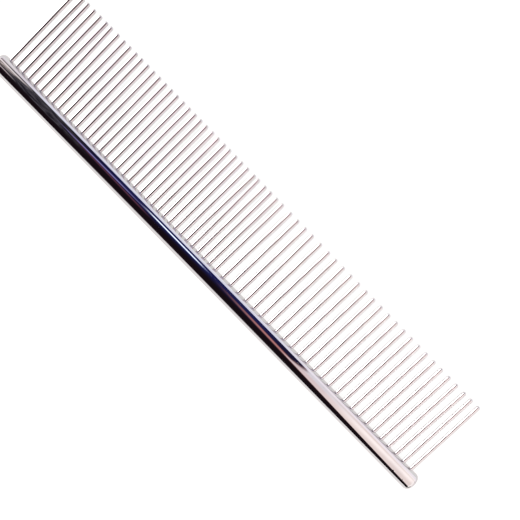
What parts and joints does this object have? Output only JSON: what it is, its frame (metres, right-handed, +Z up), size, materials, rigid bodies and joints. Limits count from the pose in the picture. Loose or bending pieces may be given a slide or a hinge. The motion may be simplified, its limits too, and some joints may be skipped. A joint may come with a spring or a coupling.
{
  "type": "steel grooming comb",
  "caption": "Straight steel pet comb: a round bar with a row of straight round pin teeth, close together in one half and wider apart in the other.",
  "frame": {"origin": "under the middle of the comb's outline, at the level of the bar's underside, with the comb lying flat", "axes": "+X along the bar, towards the coarse teeth's end; +Y the way the teeth point; +Z up, across the bar's thickness"},
  "size_m": [0.19, 0.0362, 0.0062],
  "materials": {
    "spine": "polished",
    "teeth": "polished"
  },
  "bodies": {
    "root": {"spine_bar": "spine", "fine_tooth_01": "teeth", "fine_tooth_02": "teeth", "fine_tooth_03": "teeth", "fine_tooth_04": "teeth", "fine_tooth_05": "teeth", "fine_tooth_06": "teeth", "fine_tooth_07": "teeth", "fine_tooth_08": "teeth", "fine_tooth_09": "teeth", "fine_tooth_10": "teeth", "fine_tooth_11": "teeth", "fine_tooth_12": "teeth", "fine_tooth_13": "teeth", "fine_tooth_14": "teeth", "fine_tooth_15": "teeth", "fine_tooth_16": "teeth", "fine_tooth_17": "teeth", "fine_tooth_18": "teeth", "fine_tooth_19": "teeth", "fine_tooth_20": "teeth", "fine_tooth_21": "teeth", "fine_tooth_22": "teeth", "fine_tooth_23": "teeth", "fine_tooth_24": "teeth", "fine_tooth_25": "teeth", "fine_tooth_26": "teeth", "fine_tooth_27": "teeth", "fine_tooth_28": "teeth", "fine_tooth_29": "teeth", "fine_tooth_30": "teeth", "fine_teeth_31_32": "teeth", "fine_teeth_33_34": "teeth", "fine_teeth_35_36": "teeth", "coarse_tooth_01": "teeth", "coarse_tooth_02": "teeth", "coarse_tooth_03": "teeth", "coarse_tooth_04": "teeth", "coarse_tooth_05": "teeth", "coarse_tooth_06": "teeth", "coarse_tooth_07": "teeth", "coarse_tooth_08": "teeth", "coarse_tooth_09": "teeth", "coarse_tooth_10": "teeth", "coarse_tooth_11": "teeth", "coarse_tooth_12": "teeth", "coarse_tooth_13": "teeth", "coarse_tooth_14": "teeth", "coarse_tooth_15": "teeth", "coarse_tooth_16": "teeth", "coarse_tooth_17": "teeth", "coarse_tooth_18": "teeth", "coarse_tooth_19": "teeth", "coarse_tooth_20": "teeth", "coarse_tooth_21": "teeth", "coarse_tooth_22": "teeth", "coarse_tooth_23": "teeth", "coarse_tooth_24": "teeth", "coarse_tooth_25": "teeth", "coarse_tooth_26": "teeth"}
  },
  "joints": []
}
